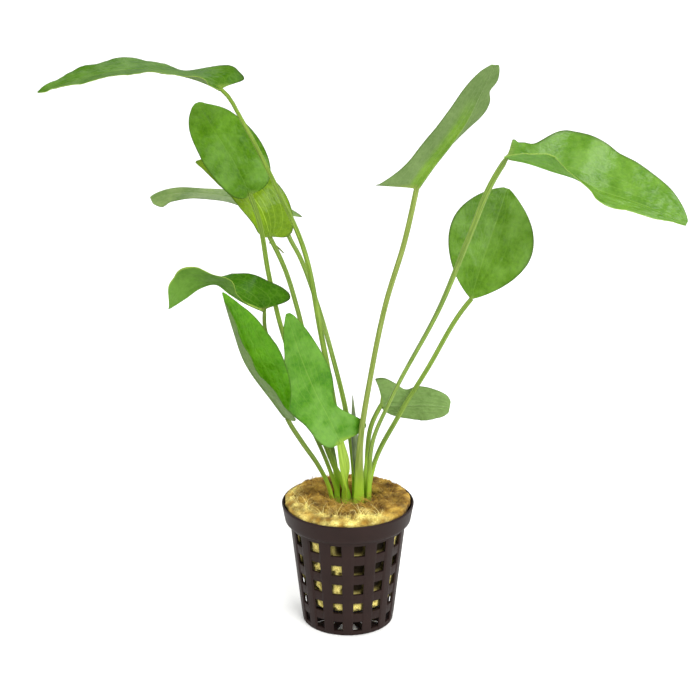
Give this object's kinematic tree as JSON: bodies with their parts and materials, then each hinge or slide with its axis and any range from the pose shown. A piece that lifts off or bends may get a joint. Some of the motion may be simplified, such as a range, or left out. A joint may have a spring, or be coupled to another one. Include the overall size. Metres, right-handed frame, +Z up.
{
  "type": "potted amazon sword plant",
  "caption": "Young water plant with long-stalked lance-shaped and rounded leaves, rooted in a mineral wool plug that sits in a tapered black net pot.",
  "frame": {"origin": "centre of the underside of the pot, on the surface that it stands on", "axes": "+Z up along the pot's axis, +X to the right and +Y away from the side that is seen first"},
  "size_m": [0.244, 0.1156, 0.2469],
  "materials": {
    "pot_plastic": "satin moulded polypropylene, brown-black",
    "mineral_wool": "matt felted fibres, golden brown with straw-yellow tufts",
    "crown_tissue": "matt plant tissue",
    "leaf": "waxy living leaf, glossy above and grey-green below",
    "spear": "rolled young leaf, dull grey-green"
  },
  "bodies": {
    "root": {"net_pot": "pot_plastic", "rockwool_plug": "mineral_wool", "crown": "crown_tissue", "leaf_1": "leaf", "leaf_2": "leaf", "leaf_3": "leaf", "leaf_4": "leaf", "leaf_5": "leaf", "leaf_6": "leaf", "leaf_7": "leaf", "leaf_8": "leaf", "leaf_9": "leaf", "leaf_10": "leaf", "leaf_11": "leaf", "spear_leaf": "spear"}
  },
  "joints": []
}
